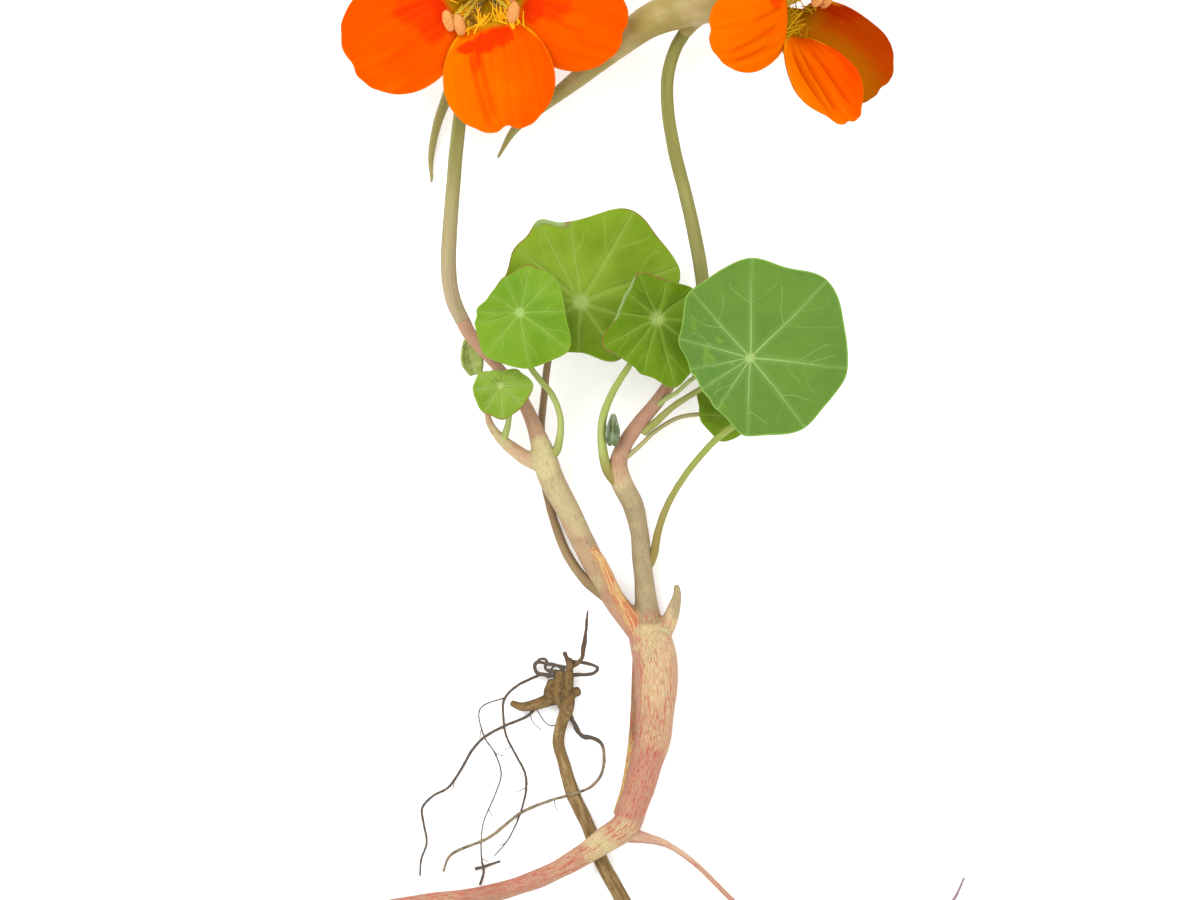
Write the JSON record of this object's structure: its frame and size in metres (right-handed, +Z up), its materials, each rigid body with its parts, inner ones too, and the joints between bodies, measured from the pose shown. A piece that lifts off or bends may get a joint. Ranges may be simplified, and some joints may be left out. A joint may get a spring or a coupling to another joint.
{
  "type": "nasturtium bunch",
  "caption": "Uprooted nasturtium plant lying flat, with orange spurred flowers, round leaves, a forked pale stem and a fine brown root.",
  "frame": {"origin": "middle of the plant's outline on the table, at the table's height", "axes": "+Y from the root end along the plant to the flowers, +Z up from the table, +X to the right as seen from above"},
  "size_m": [0.1196, 0.2176, 0.0353],
  "materials": {
    "stem": "smooth and slightly waxy, beige-pink with short red streaks",
    "root": "rough, dry and fibrous",
    "flower_stalk": "smooth, olive",
    "bare_stalk": "smooth, pinkish beige",
    "back_leaf": "matt yellow-green with pale veins",
    "left_leaf": "matt green with pale veins",
    "middle_leaf": "matt green with pale veins",
    "right_leaf": "matt bluish green with pale veins and a light margin",
    "under_leaf": "matt dark green underside",
    "brown_leaf_stalk": "smooth, brownish",
    "leaf_stalk": "smooth, pale green",
    "young_leaf": "matt, pale green",
    "folded_leaf": "matt, grey-green",
    "pink_young_leaf": "matt, green with a pink edge",
    "calyx": "smooth, yellow-olive with faint lines",
    "petal": "soft satin orange with red patches towards the throat",
    "stamen": "powdery, pale orange"
  },
  "bodies": {
    "root": {"stem": "stem", "root": "root", "left_flower_stalk": "flower_stalk", "right_flower_stalk": "flower_stalk", "bare_stalk": "bare_stalk", "back_leaf": "back_leaf", "left_leaf": "left_leaf", "small_leaf": "left_leaf", "middle_leaf": "middle_leaf", "right_leaf": "right_leaf", "under_leaf": "under_leaf", "back_leaf_stalk": "brown_leaf_stalk", "left_leaf_stalk": "leaf_stalk", "small_leaf_stalk": "leaf_stalk", "middle_leaf_stalk": "leaf_stalk", "right_leaf_stalk": "leaf_stalk", "under_leaf_stalk": "leaf_stalk", "left_bud": "young_leaf", "pale_young_leaf": "young_leaf", "folded_leaf": "folded_leaf", "pink_young_leaf": "pink_young_leaf", "left_flower_calyx": "calyx", "right_flower_calyx": "calyx", "left_flower_bottom_petal": "petal", "left_flower_left_petal": "petal", "left_flower_right_petal": "petal", "left_flower_upper_left_petal": "petal", "left_flower_upper_right_petal": "petal", "right_flower_near_petal": "petal", "right_flower_middle_petal": "petal", "right_flower_far_petal": "petal", "right_flower_upper_far_petal": "petal", "right_flower_upper_near_petal": "petal", "left_flower_stamens": "stamen", "right_flower_stamens": "stamen"}
  },
  "joints": []
}
